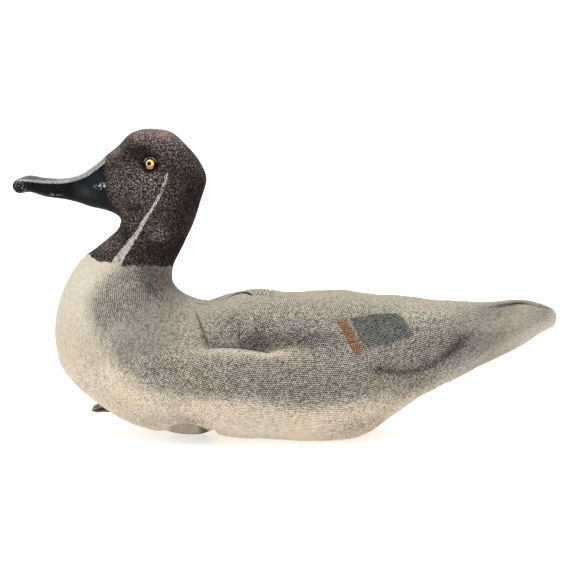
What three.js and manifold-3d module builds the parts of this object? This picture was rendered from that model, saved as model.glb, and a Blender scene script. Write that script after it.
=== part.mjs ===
// A stuffed cloth duck decoy, a pintail drake: one sewn knit skin over soft filling, two glass eyes
// and a leather tab for the anchor line.
// Millimetres, +Z up. The bill points to -X, the tail to +X and the drake's left side faces -Y.
// The origin is on the ground, at the centre of the decoy's bounding box.
import * as THREE from "three";
import { mergeVertices } from "three/addons/utils/BufferGeometryUtils.js";
import Module from "manifold-3d";

const wasm = await Module();
wasm.setup();

// Driving dimensions.
const CAP_RINGS = 4; // cross-sections in the rounding at each end
const BILL_RINGS = 12; // cross-sections along the front of the bill
const BODY_RINGS = 64; // cross-sections from there to the tail
const RING_POINTS = 50; // points round each cross-section
const BILL_CAP = 7; // length of the rounding at the bill tip
const TAIL_CAP = 8; // length of the rounding at the tail end
const BILL_DETAIL = 42; // length of bill with the closer cross-sections
const FLOOR_EASE = 3.6; // height over which the filled belly eases on to the ground
const EYE_DIAMETER = 10.4;
const EYE_DOME = 3.4; // how far the glass bulges past its rim
const EYE_RIM = 2.4; // depth of the glass behind its rim
const EYE_SINK = 0.6; // how far the rim sits below the cloth
const EYE_PLACE = { x: -113.7, z: 237.3 };
const TAB_WIDTH = 18;
const GAP = 0.3; // clearance between touching solids

// The line tab seen from the side, as [x, z]: one strap folded forward on itself, its two ends in the breast.
const TAB_OUTSIDE = [[-147, 19], [-164.6, 19.6], [-166.6, 19.9], [-167.2, 20.9], [-166.4, 22], [-158, 28]];
const TAB_INSIDE = [[-156, 27], [-164.4, 21.6], [-147, 21]];

// The body's cross-sections. Each one lies in the plane of its back point, its belly point and the Y axis.
// place: [back x, back z, belly x, belly z, half width, widest, back power, belly power], where widest is
// how far down from the back the section is widest, and a power of 2 is an ellipse and more is squarer.
const STATIONS = {
  billTip: [-234, 219, -234, 212, 7, 0.5, 2.6, 2.4],
  billNail: [-228.5, 222, -228, 209.5, 10.5, 0.5, 2.7, 2.4],
  nailBack: [-220, 224.5, -219, 210.5, 11.5, 0.5, 2.8, 2.4],
  billMiddle: [-206, 222.5, -207, 207, 10.5, 0.5, 3, 2.4],
  billRise: [-182, 223.3, -183, 203.2, 11, 0.52, 3, 2.4],
  billRoot: [-161, 235, -158, 196, 17, 0.56, 2.5, 2.3],
  lores: [-142.5, 250.8, -146.5, 192.4, 24, 0.58, 2.4, 2.2],
  brow: [-131, 261.5, -142, 188.5, 28, 0.55, 2.4, 2.2],
  crown: [-114, 264, -141, 185, 29, 0.5, 2.4, 2.2],
  poll: [-97.3, 261.4, -142, 182.5, 29, 0.48, 2.3, 2.2],
  backOfHead: [-80, 247, -143, 180, 28.5, 0.47, 2.2, 2.2],
  occiput: [-68, 225, -146, 176, 28, 0.47, 2.2, 2.2],
  nape: [-73.6, 200, -151.5, 171.5, 28.5, 0.47, 2.2, 2.2],
  collar: [-86.5, 168, -163, 162, 31, 0.47, 2.2, 2.2],
  neckFoot: [-97, 145, -179, 148, 41, 0.46, 2.2, 2.2],
  shoulder: [-96, 129, -192, 125, 52, 0.46, 2.2, 2.2],
  upperBreast: [-81, 117.2, -199, 93, 62, 0.48, 2.2, 2.2],
  breast: [-61, 113.2, -195, 63, 69, 0.5, 2.2, 2.2],
  lowerBreast: [-45, 120, -173, 36, 73, 0.52, 2.2, 2.2],
  frontBelly: [-23, 124.5, -137, 12, 76, 0.55, 2.2, 2.3],
  bellyCrease: [1, 121.2, -79, -1.6, 76, 0.58, 2.2, 2.3],
  belly: [28, 123.5, -20, -4.2, 74, 0.6, 2.2, 2.35],
  rearBelly: [59, 122.5, 49, -4.9, 67, 0.6, 2.2, 2.45],
  vent: [95, 118.5, 92, 16.6, 55, 0.55, 2.2, 2.4],
  tailRoot: [139, 115.5, 135, 43, 39, 0.51, 2.2, 2.3],
  tail: [189, 115.3, 187, 68, 25, 0.5, 2.2, 2.3],
  tailEnd: [233, 113.2, 235, 93.5, 13, 0.5, 2.2, 2.3],
};

// The wing tuck: the line along which the back panel is drawn in above the flank, as [x, z].
const TUCK_LINE = [[-64, 89.5], [-49, 89], [-31, 87], [-15, 82.5], [1, 86], [21, 87.5], [58, 90]];
const TUCK = { depth: 10, lip: 17, slope: 36, front: -76, full: -60, stitch: -15, end: 50 };
// The crease that parts the breast's lobe from the belly's, low on each side and across the underside.
const BELLY_LINE = [[-117, 13], [-104, 17], [-90, 21.5], [-80, 22], [-73, 20], [-66, 17], [-61, 10]];
const BELLY_CREASE = { depth: 4.5, width: 7, under: 3, across: 7, acrossX: -65, acrossWidth: 9 };

const { PI, abs, cos, sin, exp, hypot, sign, sqrt } = Math;
const clamp = (v, low, high) => Math.min(Math.max(v, low), high);

// 0 before a, 1 after b, with a smooth rise between.
function ease(a, b, v) {
  const t = clamp((v - a) / (b - a), 0, 1);
  return t * t * (3 - 2 * t);
}

// The slope of a smooth curve through values v at parameters u, at point i.
function tangent(u, v, i) {
  const before = i > 0 ? (v[i] - v[i - 1]) / (u[i] - u[i - 1]) : null;
  const after = i < v.length - 1 ? (v[i + 1] - v[i]) / (u[i + 1] - u[i]) : null;
  if (before === null) return after;
  if (after === null) return before;
  const left = u[i] - u[i - 1];
  const right = u[i + 1] - u[i];
  return (before * right + after * left) / (left + right);
}

// A smooth curve through values v at parameters u, read at parameter at.
function curve(u, v, at) {
  const q = clamp(at, u[0], u[u.length - 1]);
  let i = 0;
  while (i < u.length - 2 && q >= u[i + 1]) i += 1;
  const h = u[i + 1] - u[i];
  const t = (q - u[i]) / h;
  const t2 = t * t;
  const t3 = t2 * t;
  return (
    (2 * t3 - 3 * t2 + 1) * v[i] +
    (t3 - 2 * t2 + t) * h * tangent(u, v, i) +
    (3 * t2 - 2 * t3) * v[i + 1] +
    (t3 - t2) * h * tangent(u, v, i + 1)
  );
}

const heightAt = (line, x) => curve(line.map((p) => p[0]), line.map((p) => p[1]), x);

// How far the wing tuck draws the cloth in at a point of the side: short below its line, long above it.
function wingTuck(x, z) {
  const { depth, lip, slope, front, full, stitch, end } = TUCK;
  const along = x > stitch ? 1 - ease(stitch, end, x) : ease(front, full, x);
  const e = z - heightAt(TUCK_LINE, x);
  return depth * along * ease(-lip, 0, e) * (1 - ease(0, slope, e));
}

// How far the belly crease draws it in, low on the side and across the underside.
function bellyCrease(x, z) {
  const { depth, width, under, across, acrossX, acrossWidth } = BELLY_CREASE;
  const e = z - heightAt(BELLY_LINE, x);
  const along = ease(-119, -91, x) * (1 - ease(-67, -55, x));
  const side = depth * exp(-((e / width) ** 2)) + under * (1 - ease(-5, 2, e));
  const below = across * exp(-(((x - acrossX) / acrossWidth) ** 2)) * (1 - ease(2, 16, z));
  return { side: along * side, below };
}

// Where the ground flattens the filled belly.
function settle(z) {
  if (z >= FLOOR_EASE) return z;
  if (z <= -FLOOR_EASE) return 0;
  return (z + FLOOR_EASE) ** 2 / (4 * FLOOR_EASE);
}

// The stations' columns, with a parameter that measures the way along the body.
function loft() {
  const rows = Object.values(STATIONS);
  const u = [0];
  for (let i = 1; i < rows.length; i += 1) {
    const [a, b] = [rows[i - 1], rows[i]];
    u.push(u[i - 1] + (hypot(b[0] - a[0], b[1] - a[1]) + hypot(b[2] - a[2], b[3] - a[3])) / 2);
  }
  const columns = rows[0].map((_, k) => rows.map((row) => row[k]));
  return { u, columns, length: u[u.length - 1] };
}

// The skin's point at a distance q along the body and an angle round it, 0 at the back and PI at the belly.
function skinPoint({ u, columns, length }, q, angle) {
  const [bx, bz, vx, vz, half, widest, upper, lower] = columns.map((v) => curve(u, v, q));
  const round = (d, cap) => sqrt(1 - (1 - clamp(d / cap, 0, 1)) ** 2);
  const size = Math.max(round(q, BILL_CAP) * round(length - q, TAIL_CAP), 1e-3);
  const [c, s] = [cos(angle), sin(angle)];
  const power = 2 / (c > 0 ? upper : lower);
  const rise = sign(c) * abs(c) ** power;
  const reach = sign(s) * abs(s) ** power;
  const down = c > 0 ? widest * (1 - rise) : widest - (1 - widest) * rise;
  const h = widest + (down - widest) * size;
  const point = new THREE.Vector3(bx + (vx - bx) * h, -half * reach * size, bz + (vz - bz) * h);
  const centre = new THREE.Vector3(bx + (vx - bx) * widest, 0, bz + (vz - bz) * widest);
  const crease = bellyCrease(point.x, point.z);
  let depth = c > -0.6 ? wingTuck(point.x, point.z) * ease(0.1, 0.35, abs(s)) : 0;
  if (c < 0 && point.z < 40) depth += crease.side * ease(0.02, 0.2, abs(s)) + crease.below;
  const inward = centre.sub(point);
  const room = inward.length();
  if (room > 1e-6) point.addScaledVector(inward.divideScalar(room), Math.min(depth, room * 0.8));
  point.z = settle(point.z);
  return point;
}

// The distances along the body of its rings: closer in the rounded ends and along the bill.
function ringPlaces(length) {
  const cap = (k) => 1 - cos(((PI / 2) * k) / CAP_RINGS);
  const steps = (from, to, n) => Array.from({ length: n }, (_, k) => from + ((to - from) * (k + 1)) / n);
  const ends = Array.from({ length: CAP_RINGS }, (_, k) => cap(k + 1));
  return [
    ...ends.map((part) => BILL_CAP * part),
    ...steps(BILL_CAP, BILL_DETAIL, BILL_RINGS),
    ...steps(BILL_DETAIL, length - TAIL_CAP, BODY_RINGS),
    ...ends.slice(0, -1).reverse().map((part) => length - TAIL_CAP * part),
  ];
}

// The closed skin as a mesh of rings, with a point at each end.
function skinGeometry() {
  const frame = loft();
  const vertices = [];
  const faces = [];
  const places = ringPlaces(frame.length);
  for (const q of places) {
    for (let j = 0; j < RING_POINTS; j += 1) {
      vertices.push(...skinPoint(frame, q, (2 * PI * j) / RING_POINTS));
    }
  }
  const ring = (i, j) => i * RING_POINTS + (j % RING_POINTS);
  for (let i = 0; i < places.length - 1; i += 1) {
    for (let j = 0; j < RING_POINTS; j += 1) {
      const [a, b, c, d] = [ring(i, j), ring(i + 1, j), ring(i + 1, j + 1), ring(i, j + 1)];
      faces.push(a, c, b, a, d, c);
    }
  }
  for (const [q, first, turn] of [[0, 0, 1], [frame.length, (places.length - 1) * RING_POINTS, -1]]) {
    const pole = vertices.length / 3;
    vertices.push(...skinPoint(frame, q, PI / 2).setY(0));
    for (let j = 0; j < RING_POINTS; j += 1) {
      const [a, b] = [first + j, first + ((j + 1) % RING_POINTS)];
      faces.push(...(turn > 0 ? [pole, b, a] : [pole, a, b]));
    }
  }
  const geometry = new THREE.BufferGeometry();
  geometry.setAttribute("position", new THREE.Float32BufferAttribute(vertices, 3));
  geometry.setIndex(faces);
  return geometry;
}

// A closed three.js geometry as a solid for joining and cutting.
function solid(geometry, matrix = new THREE.Matrix4()) {
  const g = geometry.clone();
  g.deleteAttribute("normal");
  g.deleteAttribute("uv");
  g.applyMatrix4(matrix);
  const merged = mergeVertices(g, 1e-4);
  return new wasm.Manifold(
    new wasm.Mesh({
      numProp: 3,
      vertProperties: new Float32Array(merged.attributes.position.array),
      triVerts: new Uint32Array(merged.index.array),
    }),
  );
}

// A solid back as a flat-shaded geometry.
function geometryOf(made) {
  const mesh = made.getMesh();
  const geometry = new THREE.BufferGeometry();
  geometry.setAttribute("position", new THREE.BufferAttribute(new Float32Array(mesh.vertProperties), 3));
  geometry.setIndex(new THREE.BufferAttribute(new Uint32Array(mesh.triVerts), 1));
  const flat = geometry.toNonIndexed();
  flat.computeVertexNormals();
  return flat;
}

// A glass eye about +Z: a shallow drum with a domed front. grow adds clearance for its socket.
function eyeGeometry(grow = 0) {
  const radius = EYE_DIAMETER / 2 + grow;
  const profile = [new THREE.Vector2(0, -EYE_RIM - grow), new THREE.Vector2(radius, -EYE_RIM - grow)];
  const steps = 6;
  for (let i = 0; i < steps; i += 1) {
    const a = (PI / 2) * (i / steps);
    profile.push(new THREE.Vector2(radius * cos(a), (EYE_DOME + grow) * sin(a)));
  }
  profile.push(new THREE.Vector2(0, EYE_DOME + grow));
  return new THREE.LatheGeometry(profile, 24).rotateX(PI / 2);
}

// The point where a line along Y at an x and z leaves the skin on the drake's left, and the skin's normal there.
function leftSideAt(skin, { x, z }) {
  const mesh = new THREE.Mesh(skin, new THREE.MeshBasicMaterial({ side: THREE.DoubleSide }));
  const ray = new THREE.Raycaster(new THREE.Vector3(x, -500, z), new THREE.Vector3(0, 1, 0));
  const hit = ray.intersectObject(mesh)[0];
  return { point: hit.point, normal: hit.face.normal.clone() };
}

// The matrix that stands an eye on the left side of the head; side 1 mirrors its place to the right.
function eyeMatrix({ point, normal }, side) {
  const out = normal.clone();
  const at = point.clone().addScaledVector(out, -EYE_SINK);
  if (side > 0) {
    out.y = -out.y;
    at.y = -at.y;
  }
  const turn = new THREE.Quaternion().setFromUnitVectors(new THREE.Vector3(0, 0, 1), out);
  return new THREE.Matrix4().compose(at, turn, new THREE.Vector3(1, 1, 1));
}

// The line tab before the breast trims its ends.
function tabGeometry() {
  const outline = new THREE.Shape([...TAB_OUTSIDE, ...TAB_INSIDE].map(([x, z]) => new THREE.Vector2(x, z)));
  const strap = new THREE.ExtrudeGeometry(outline, { depth: TAB_WIDTH, bevelEnabled: false });
  return strap.rotateX(PI / 2).translate(0, TAB_WIDTH / 2, 0);
}

const material = (color, roughness, metalness = 0) =>
  new THREE.MeshStandardMaterial({ color, roughness, metalness });
const knitCloth = material(0xa89f8e, 0.95);
const amberGlass = material(0xd99a3a, 0.08);
const darkLeather = material(0x2b2724, 0.7);

function part(name, geometry, finish) {
  const mesh = new THREE.Mesh(geometry, finish);
  mesh.name = name;
  return mesh;
}

const skin = skinGeometry();
const eyeSeat = leftSideAt(skin, EYE_PLACE);
const eyes = { left_eye: eyeMatrix(eyeSeat, -1), right_eye: eyeMatrix(eyeSeat, 1) };

let body = solid(skin);
for (const matrix of Object.values(eyes)) body = body.subtract(solid(eyeGeometry(GAP), matrix));

// The breast trims the tab's ends, clear of it by the gap along the breast's slope there.
const off = new THREE.Vector3(-0.5, 0, -0.87).multiplyScalar(GAP);
const tab = solid(tabGeometry()).subtract(body.translate(off.toArray()));

const decoy = new THREE.Group();
decoy.name = "duck_decoy";
decoy.add(part("stuffed_body", geometryOf(body), knitCloth));
for (const [name, matrix] of Object.entries(eyes)) {
  const eye = part(name, eyeGeometry(), amberGlass);
  matrix.decompose(eye.position, eye.quaternion, eye.scale);
  decoy.add(eye);
}
decoy.add(part("line_tab", geometryOf(tab), darkLeather));

export default decoy;
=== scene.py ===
"""A stuffed knit-cloth duck decoy, a pintail drake: its sewn skin, glass eyes, line tab and closing thread.

The tables give millimetres in the decoy's frame. The bill points to -X, the tail to +X, the drake's left side
faces -Y and the ground is at zero. A mesh is made in metres.
"""

import math

import bpy
import numpy as np
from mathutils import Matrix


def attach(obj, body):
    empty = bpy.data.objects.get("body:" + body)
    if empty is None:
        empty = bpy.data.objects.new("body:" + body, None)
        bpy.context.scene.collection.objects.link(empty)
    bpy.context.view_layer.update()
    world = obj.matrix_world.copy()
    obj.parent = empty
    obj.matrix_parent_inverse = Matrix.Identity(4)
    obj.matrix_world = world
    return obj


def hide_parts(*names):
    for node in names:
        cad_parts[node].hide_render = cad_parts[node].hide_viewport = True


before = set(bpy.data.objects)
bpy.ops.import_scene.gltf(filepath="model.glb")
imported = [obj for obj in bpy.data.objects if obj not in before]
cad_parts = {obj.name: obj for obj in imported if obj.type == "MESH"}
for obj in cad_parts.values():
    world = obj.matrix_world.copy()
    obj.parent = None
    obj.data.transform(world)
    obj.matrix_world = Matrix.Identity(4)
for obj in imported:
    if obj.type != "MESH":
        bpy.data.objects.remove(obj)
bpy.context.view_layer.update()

TAU = 2 * math.pi

# The view that the marks are laid out in, which is the camera's.
VIEW_TILT = math.radians(9)  # the camera looks down by this much
VIEW_DISTANCE = 1600
VIEW_TARGET = np.array([-0.1, 0, 129.6])
VIEW_WIDTH = 493  # the width that the picture takes in at the target

# Cross-sections of the skin, each in the plane of its back point, its belly point and the Y axis:
# back x, back z, belly x, belly z, half width, how far down it is widest, back power, belly power.
STATIONS = {
    "bill tip": [-233.8, 220, -233.6, 211.3, 8, 0.5, 2.6, 2.4],
    "bill nail": [-228.5, 222, -228, 209.5, 10.5, 0.5, 2.7, 2.4],
    "nail back": [-220, 224.5, -219, 210.5, 11.5, 0.5, 2.8, 2.4],
    "bill middle": [-206, 222.5, -207, 207, 10.5, 0.5, 3, 2.4],
    "bill rise": [-182, 223.3, -183, 203.2, 11, 0.52, 3, 2.4],
    "bill root": [-161, 235, -158, 195.5, 17, 0.56, 2.5, 2.3],
    "lores": [-142.5, 250.8, -146.5, 192, 24, 0.58, 2.4, 2.2],
    "brow": [-131, 261.5, -142, 188.5, 28, 0.55, 2.4, 2.2],
    "crown": [-114, 264, -141, 185, 29, 0.5, 2.4, 2.2],
    "poll": [-97.3, 261.4, -142, 182.5, 29, 0.48, 2.3, 2.2],
    "back of head": [-80, 247, -143, 180, 28.5, 0.47, 2.2, 2.2],
    "occiput": [-68, 225, -146, 176, 28, 0.47, 2.2, 2.2],
    "nape": [-73.2, 200, -151.5, 171.5, 28.5, 0.47, 2.2, 2.2],
    "collar": [-86.5, 168, -163, 162, 31, 0.47, 2.2, 2.2],
    "neck foot": [-97, 145, -179, 148, 41, 0.46, 2.2, 2.2],
    "shoulder": [-96, 129, -192, 125, 52, 0.46, 2.2, 2.2],
    "upper breast": [-81, 117.2, -199, 93, 62, 0.48, 2.2, 2.2],
    "breast": [-61, 113.2, -195, 63, 69, 0.5, 2.2, 2.2],
    "lower breast": [-45, 120, -173, 36, 73, 0.52, 2.2, 2.2],
    "front belly": [-23, 124.5, -137, 13, 76, 0.55, 2.2, 2.3],
    "belly crease": [1, 121.2, -79, -1.6, 76, 0.58, 2.2, 2.3],
    "belly": [28, 123.5, -20, -3.7, 74, 0.6, 2.2, 2.25],
    "rear belly": [59, 122.5, 49, -4.6, 67, 0.6, 2.2, 2.35],
    "vent front": [78, 120.9, 72, 2.6, 61.8, 0.575, 2.2, 2.38],
    "vent": [95, 119.2, 92, 17, 55, 0.55, 2.2, 2.4],
    "under tail": [117, 118, 113, 31.6, 47, 0.53, 2.2, 2.35],
    "tail root": [139, 115.5, 135, 43, 39, 0.51, 2.2, 2.3],
    "tail": [189, 115.3, 187, 68, 25, 0.5, 2.2, 2.3],
    "tail tip": [212, 115.4, 212, 81, 18.5, 0.5, 2.2, 2.3],
    "tail end": [234.5, 109, 236, 95.5, 12, 0.5, 2.2, 2.3],
}
BILL_CAP = 5  # length of the round end
TAIL_CAP = 5.5
CAP_ROWS = 8  # rows of points in a round end
SKIN_ROWS = 420  # and between the two
SKIN_COLUMNS = 320
FLOOR_EASE = 3.6  # the skin bends to lie flat between this far above and below the ground
LUMPS = [[0.35, 46, 3], [0.16, 17, 5]]  # the filling's unevenness: height, length and seed

# How the filling presses the skin out.
FILL_STEP = 4  # one row and column in this many is in the coarse cloth
FILL_FRAMES = 20
FILL_MOST = 2.0  # no point moves farther than this
FILL_ROUNDS = 6  # how often the movement is evened out
FILL_CLOTH = {
    "mass": 0.05,
    "tension_stiffness": 5,
    "compression_stiffness": 5,
    "shear_stiffness": 2.5,
    "bending_stiffness": 0.5,
    "use_pressure": True,
    "uniform_pressure_force": 4,
    "vertex_group_mass": "held",
}

WALE = 1.75  # width of a rib of the knit
COURSE = 1.75  # length of a stitch along its rib
OTHER_SIDE = 500  # stitches that the right side's knit is moved along, so it isn't a mirror image

# Folds, as they show from the left: x and height on the decoy's middle plane.
TUCK_LINE = [[-67, 74.7], [-56, 74.7], [-44, 74.9], [-31, 73.3], [-18, 70.9], [-14.5, 70.4], [-7, 72.2],
             [2, 74.2], [21, 75.6], [60, 77]]
WING_LINE = [[-78.5, 110], [-72.5, 93], [-66.5, 77]]
WRINKLE_LINE = [[-39, 99], [-39.7, 86], [-38.6, 76]]
SHOULDER_LINE = [[-80.5, 114], [-73, 113.2], [-65, 112.5]]
CREASE_LINE = [[-112, 3], [-104, 5.2], [-92.5, 7.6], [-82.5, 8], [-76.5, 6.5], [-70, 4], [-64.5, 1.2]]
# The seam that closes the back, from above: x and y. Its middle stretch lies flat and painted over.
BACK_SEAM = [[-57, 3], [-53, 3.5], [-48, 4], [-42, 5], [-37.5, 5.5], [-34.5, 3], [-32, -4], [-29.5, -11],
             [-27, -15], [-23, -15], [-16, -13.5], [-10, -14], [-3, -14], [6, -9], [18, -4], [50, 0],
             [110, 0], [160, -2], [178, -7], [192, -8], [202, -7], [214, -7.5], [226, -6], [233, -3]]
SEAM_STEPS = 120
TUCK_DEPTH = 11
TUCK_SEWN = 3  # how much deeper it is where it is sewn down
TUCK_LIP = 12  # height of the round lip below it
TUCK_SLOPE = 34  # height of the slope above it
CREASE_DEPTH = 4.5
CREASE_SHELF = 2.5  # how far the skin below the crease stays drawn in
CREASE_ACROSS = 8  # depth of the crease across the belly

# Painted marks, as they show from the left: x and height on the decoy's middle plane.
NECK_EDGE = [[-180, 157.5], [-169, 155.3], [-164.5, 151.8], [-156.5, 151], [-149, 149.3], [-143.5, 146.8],
             [-133.5, 146.3], [-119.5, 145.4], [-106.5, 145.9], [-94, 146.4]]
BILL_EDGE = [[-143.5, 190], [-144, 194.5], [-151.5, 200.5], [-154.5, 208.5], [-154, 215.5], [-154.5, 222],
             [-157, 227], [-155.5, 234], [-156, 242]]
BILL_RIDGE = [[-236, 220.5], [-224, 220], [-207, 218.6], [-190.5, 218.9], [-180.5, 221], [-170.5, 225.2],
              [-160.5, 232.6], [-152, 240]]
NECK_STRIPE = [[-102, 227.4], [-105, 216.5], [-108.5, 208.5], [-112.8, 200], [-120.5, 188.2], [-129, 173.3],
               [-133, 167.5], [-140.5, 157], [-145.5, 149.5]]
RUST_BAR = [[43.8, 99.4], [53.4, 99], [67.4, 73.6], [64, 68], [60, 69.2]]
SPECULUM = [[56, 100.6], [75, 104.2], [96.6, 105], [102.8, 99.9], [105.4, 94.6], [111.8, 86.6], [97.6, 79.8],
            [86.4, 77.4], [72.5, 74.6], [66.4, 79.6]]
GREY_EDGE = [[-140, 160], [-145, 146], [-154, 137], [-163, 127], [-169, 117], [-169, 104], [-164, 93], [-159, 83],
             [-155, 74], [-150, 65], [-144, 57], [-130, 48], [-115, 37], [-90, 31], [-65, 29], [-38, 28], [-20, 25.5],
             [13, 20], [30, 21], [56, 24], [73, 26.5], [91, 29.5], [112, 34], [128, 40], [142, 49], [160, 58],
             [177, 67], [194, 77], [212, 88], [228, 98], [238, 112], [238, 170], [-152, 170]]
TAIL_STREAK = [[71, 56], [92.5, 54.3], [101, 53.5], [123.5, 58.7], [136.5, 66.5], [147, 74.5], [157.5, 85.5],
               [176.5, 92]]
FLANK_BAND = [[-134, 62], [-100, 49], [-48, 39.5], [13, 34], [56, 44], [100, 58]]
BACK_BAND = [[-70, 116], [-20, 124], [40, 124], [110, 120], [190, 117], [232, 112]]
STRIPE_WIDTH = [[0, 0.65], [0.35, 0.95], [0.7, 1.85], [1, 3.9]]  # half of it, by the share walked
# Dark lines in the grooves of the wing's fold, the shoulder's fold and the wrinkle: painted shadow.
FOLD_SHADOW_LINES = [[WING_LINE, 0.75], [SHOULDER_LINE, 0.4], [WRINKLE_LINE, 0.5]]  # and how dark each is
PAINT_REACH = 20  # farther from an edge, its paint stays the same
AWAY = 99.0  # no line is near

# Soft sprays: x, height, reach along, reach up, tilt in degrees and strength. These darken the body's paint, or
# lighten it where their strength is below zero. Some are painted light rather than paint: shade in and near the
# tuck's fold, at the crease and near the ground, and highlights on the lit lips below the tuck.
GREY_SPRAYS = {
    "neck foot": [-111, 134, 21, 16, 0, 0.23],
    "nape foot": [-115, 138, 11, 15, 0, 0.3],
    "breast top": [-143, 112, 12, 8, 0, 0.07],
    "breast edge": [-148, 84, 8, 12, -30, -0.13],
    "breast corner": [-126, 61, 8, 7, 0, -0.14],
    "breast blend": [-165, 69, 12, 20, 0, 0.16],
    "flank": [8, 53, 60, 15, 0, 0.08],
    "breast haze": [-180, 80, 20, 32, 0, 0.15],
    # above and over the tuck: grey paint, with painted shade deepening towards the fold; in, at the corner of and
    # behind the tuck: painted shade in the fold
    "above the tuck": [2, 84, 52, 10, 0, 0.16],
    "tuck fold shade": [-25, 80, 14, 7.5, 0, 0.3],
    "over the tuck": [-22, 95, 9, 6, 0, 0.11],
    "tuck corner shade": [-17, 74.5, 6, 3, -15, 0.22],
    "rear tuck shade": [20, 81.5, 26, 5.5, -3, 0.2],
    "before the wrinkle": [-44, 79, 7, 4.5, 0, -0.19],
    "panel top": [-46, 99, 9, 6, 0, 0.15],
    # painted highlights on the lit lips below the tuck, with a negative strength
    "flank lip highlight": [-46, 70.5, 40, 4.5, 0, -0.26],
    "highlight at the lip end": [-21, 68.5, 8, 3.5, 0, -0.2],
    "rear lip highlight": [-2, 69, 21, 4, 0, -0.19],
    "rear flank": [92, 64, 46, 20, 0, 0.09],
    "shoulder": [-82, 92, 12, 16, 0, -0.12],
    "over the streak": [146, 80, 30, 10, 0, 0.16],
    # painted shade at the belly's lower edge, near the ground
    "shade at the belly end": [58, 4, 22, 8, 12, 0.3],
    "belly's corner": [81, 9, 9, 6, 30, 0.16],
    "under the flank": [82, 33, 24, 5, 8, -0.08],
    "over the speculum": [122, 106, 30, 9, 0, -0.13],
    "tail side": [200, 99, 22, 10, 10, -0.07],
    "tail smudge": [192, 112.3, 16, 1.8, 7, 0.4],
    "vent edge": [118, 28, 40, 8, 25, 0.17],
    # painted shade along the breast's lower edge, near the ground
    "shade at the breast's foot": [-142, 23, 36, 8, -27, 0.2],
    "breast hem": [-101, 25, 14, 5, -6, 0.17],
    "breast's edge": [-130, 40, 15, 6, -36, 0.13],
    # painted shade under the breast, near the ground
    "shade beneath the breast": [-118, 8, 26, 5, -8, 0.14],
    "collar light": [-126, 130, 8, 5, 0, -0.09],
    "streak's haze": [118, 67, 8, 5, 25, 0.1],
    "rear panel": [64, 60, 22, 4.5, 0, -0.08],
    "low breast": [-108, 55, 14, 6, 0, 0.1],
    "flank's foot": [12, 38, 13, 5, 0, 0.08],
    "rump edge": [94, 26, 28, 6, 35, 0.14],
    # painted shade along the crease under the breast
    "crease shade": [-88, 11, 20, 7, -8, 0.3],
    "tail top": [184, 107, 26, 7, 0, 0.12],
    "tail tip": [229, 99, 12, 14, 0, 0.17],
    "tail edge": [184, 67, 42, 4.5, 27, 0.3],
    "under the tail": [130, 50, 30, 9, 27, 0.06],
}
# These wear the head's paint, or darken it where their strength is below zero; the others add warmth, ochre,
# a painted sheen on the bill, and scuffs with painted glints.
HEAD_SPRAYS = {
    "crown": [-105, 259, 26, 7.5, -10, 0.29],
    "under the eye": [-112, 224, 9, 6, 0, 0.1],
    "behind the crown": [-98, 245, 10, 6, -20, 0.08],
    "worn crown": [-108, 265, 22, 4, 0, 0.36],
    "cheek": [-124, 218, 15, 13, 0, 0.11],
    "lores": [-144, 220, 8, 16, 0, 0.04],
    "forehead": [-150, 247, 9, 5, 40, 0.17],
    "crown edge": [-125, 262, 13, 4.5, 14, 0.2],
    "nape patch": [-110, 175, 9, 5, -25, 0.17],
    "throat": [-155, 167, 9, 9, 35, 0.16],
    "neck front": [-137, 181, 10, 10, 0, 0.03],
    "brow": [-126, 245, 11, 7, 0, -0.14],
    "back of head": [-80, 208, 11, 22, -14, -0.12],
    "nape": [-95, 168, 11, 20, -28, -0.07],
    # rim: a painted highlight along the back edge of the head
    "rim": [-72, 243, 6, 12, 0, 0.08],
    "neck side": [-98, 191, 14, 14, 0, -0.04],
    "collar": [-104, 157, 30, 10, 0, -0.13],
    "throat dark": [-138, 174, 5, 9, 0, -0.1],
    "jaw": [-130, 195, 7, 6, 0, -0.07],
    "before the eye": [-122, 240, 5, 5, 0, -0.1],
    "poll": [-95, 228, 14, 10, 0, -0.05],
}
WARM_SPRAYS = {"breast": [-134, 30, 20, 10, -35, 0.5], "side": [-176, 66, 12, 20, 0, 0.3]}
OCHRE_SPRAYS = {"crown": [-103, 262, 8, 3.5, 0, 0.6], "forehead": [-146, 246, 6, 3, 40, 0.3]}
# a bluish painted sheen on the bill's root
SHEEN_SPRAYS = {"root": [-172, 211, 9, 5, -25, 0.65], "root top": [-163, 222, 7, 5, 0, 0.35]}
SCUFF_AND_GLINT_SPRAYS = {
    "cheek": [-158, 216.5, 6.5, 2.6, 12, 0.9],
    # nail and tip: painted glints on the bill's end; cheek and lip: scuffs
    "nail": [-226, 214, 1.6, 4, 0, 0.8],
    "tip": [-231, 218, 3, 3, 0, 0.45],
    "lip": [-204, 208.5, 8, 1, 0, 0.5],
}

# A glass eye is a drum with a dome on it.
GLASS_RADIUS = 4.9
GLASS_RIM = 2.4  # height of the drum
GLASS_DOME = 3.4
GLASS_ROWS = 14
GLASS_SIDES = 48
EYE_PRESS = 3.4  # depth of the skin's dent under it
EYE_LIP = 0.75  # height of the skin's roll round it

# The line tab's strap on the middle plane, as x and height, round its fold.
TAB_PATH = [[-157.4, 25.6], [-162, 23.2], [-166.6, 21.2], [-167.7, 20.4], [-166.6, 19.8], [-158, 19.7],
            [-148.6, 19.6]]
TAB_STEPS = 60
TAB_SIDES = 32
TAB_HALF_WIDTH = 9.0
TAB_HALF_THICK = 0.75
TAB_CORNER = 0.3
TAB_CUT = 0.28  # width of the pale cut edge

# The stitches on the back: a zigzag about the line where y is STITCH_MIDDLE.
STITCH_FRONT = -27
STITCH_LENGTH = 15
STITCH_MIDDLE = -7
STITCH_REACH = 8.5
STITCH_WAVES = 4.5
STITCH_STEPS = 120
THREAD_RADIUS = 0.42

FLOOR_LEVEL_END = 1.6  # metres to the back
FLOOR_BEND = 0.9  # radius of the backdrop's bend, in metres
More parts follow.
